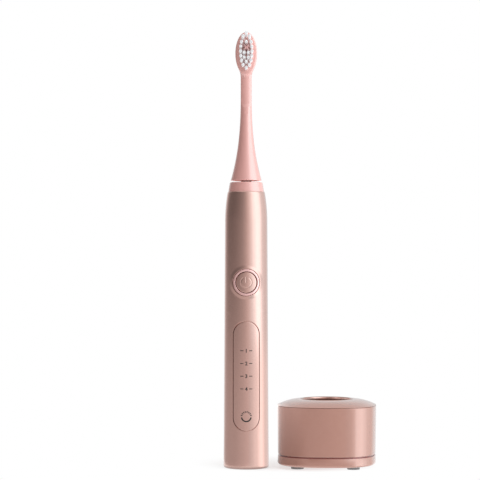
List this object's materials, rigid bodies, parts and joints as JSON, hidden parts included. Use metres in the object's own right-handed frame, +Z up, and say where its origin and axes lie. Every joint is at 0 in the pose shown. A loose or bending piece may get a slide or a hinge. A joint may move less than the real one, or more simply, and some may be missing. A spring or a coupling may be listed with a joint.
{
  "type": "electric toothbrush with charging base",
  "caption": "Slim upright electric toothbrush with a pull-off oval head, press button and swinging drive shaft, beside a rounded-square charging base with a round well.",
  "frame": {"origin": "middle of the pair's footprint, on the surface that the brush and the charger stand on", "axes": "+Z up along the brush, -Y towards the bristles and the button, +X from the brush to the charger"},
  "size_m": [0.0856, 0.0556, 0.2426],
  "materials": {
    "rose_metallic": "satin rose metallic paint",
    "rose_bright": "polished rose plating",
    "pink_gloss": "glossy moulded plastic",
    "white_nylon": "nylon strands",
    "pink_nylon": "nylon strands",
    "dark_rubber": "soft rubber",
    "steel": "ground steel",
    "magnet": "dark nickel",
    "bronze": "sintered bronze",
    "copper": "enamelled copper wire",
    "ferrite": "sintered ferrite",
    "white_plastic": "moulded plastic",
    "clear_plastic": "clear moulded plastic",
    "board_green": "solder mask",
    "chip_black": "moulded epoxy",
    "cell_wrap": "shrink wrap over a metal can"
  },
  "bodies": {
    "charger": {"charger_wall": "rose_metallic", "charger_lid": "rose_metallic", "well_cup": "rose_bright", "charger_base": "rose_metallic", "charger_feet": "dark_rubber", "base_screws": "steel", "sending_spool": "white_plastic", "sending_coil": "copper", "ferrite_plate": "ferrite", "charger_board": "board_green", "charger_components": "chip_black", "inlet_shell": "steel", "inlet_tongue": "chip_black"},
    "handle": {"handle_shell": "rose_metallic", "neck_collar": "pink_gloss", "collar_seal": "dark_rubber", "shaft_boot": "dark_rubber", "button_bezel": "rose_bright", "button_seal": "dark_rubber", "mode_panel": "rose_metallic", "light_pipes": "clear_plastic", "mode_leds": "clear_plastic", "chassis": "white_plastic", "main_board": "board_green", "board_screws": "steel", "board_chips": "chip_black", "tact_switch": "chip_black", "battery": "cell_wrap", "battery_tabs": "steel", "motor_case": "steel", "motor_end_plate": "white_plastic", "front_bush": "bronze", "rear_bush": "bronze", "stator_coil": "copper", "stator_yokes": "steel", "motor_damper": "dark_rubber", "bottom_cap": "rose_metallic", "cap_seal": "dark_rubber", "coil_bobbin": "white_plastic", "charge_coil": "copper", "ferrite_core": "ferrite"},
    "button": {"power_button": "rose_metallic", "switch_plunger": "white_plastic"},
    "drive": {"drive_shaft": "steel", "rotor_core": "steel", "rotor_magnets": "magnet"},
    "head": {"brush_head": "pink_gloss", "bristle_tufts": "white_nylon", "cross_tuft": "pink_nylon", "head_socket": "white_plastic", "socket_clip": "steel"}
  },
  "joints": [
    {"name": "brush_lift", "type": "slide", "parent": "charger", "child": "handle", "axis": [0, 0, 1], "range_m": [0, 0.045]},
    {"name": "button_press", "type": "slide", "parent": "handle", "child": "button", "axis": [0, 1, 0], "range_m": [0, 0.0005], "stiffness_N_per_m": 1500, "springref_m": -0.0005},
    {"name": "shaft_swing", "type": "hinge", "parent": "handle", "child": "drive", "pos_m": [-0.03016, -0.007, 0.1165], "axis": [0, 0, 1], "range_deg": [-4.5, 4.5], "stiffness_Nm_per_rad": 0.2},
    {"name": "head_pull", "type": "slide", "parent": "drive", "child": "head", "axis": [0, 0, 1], "range_m": [0, 0.022]}
  ]
}
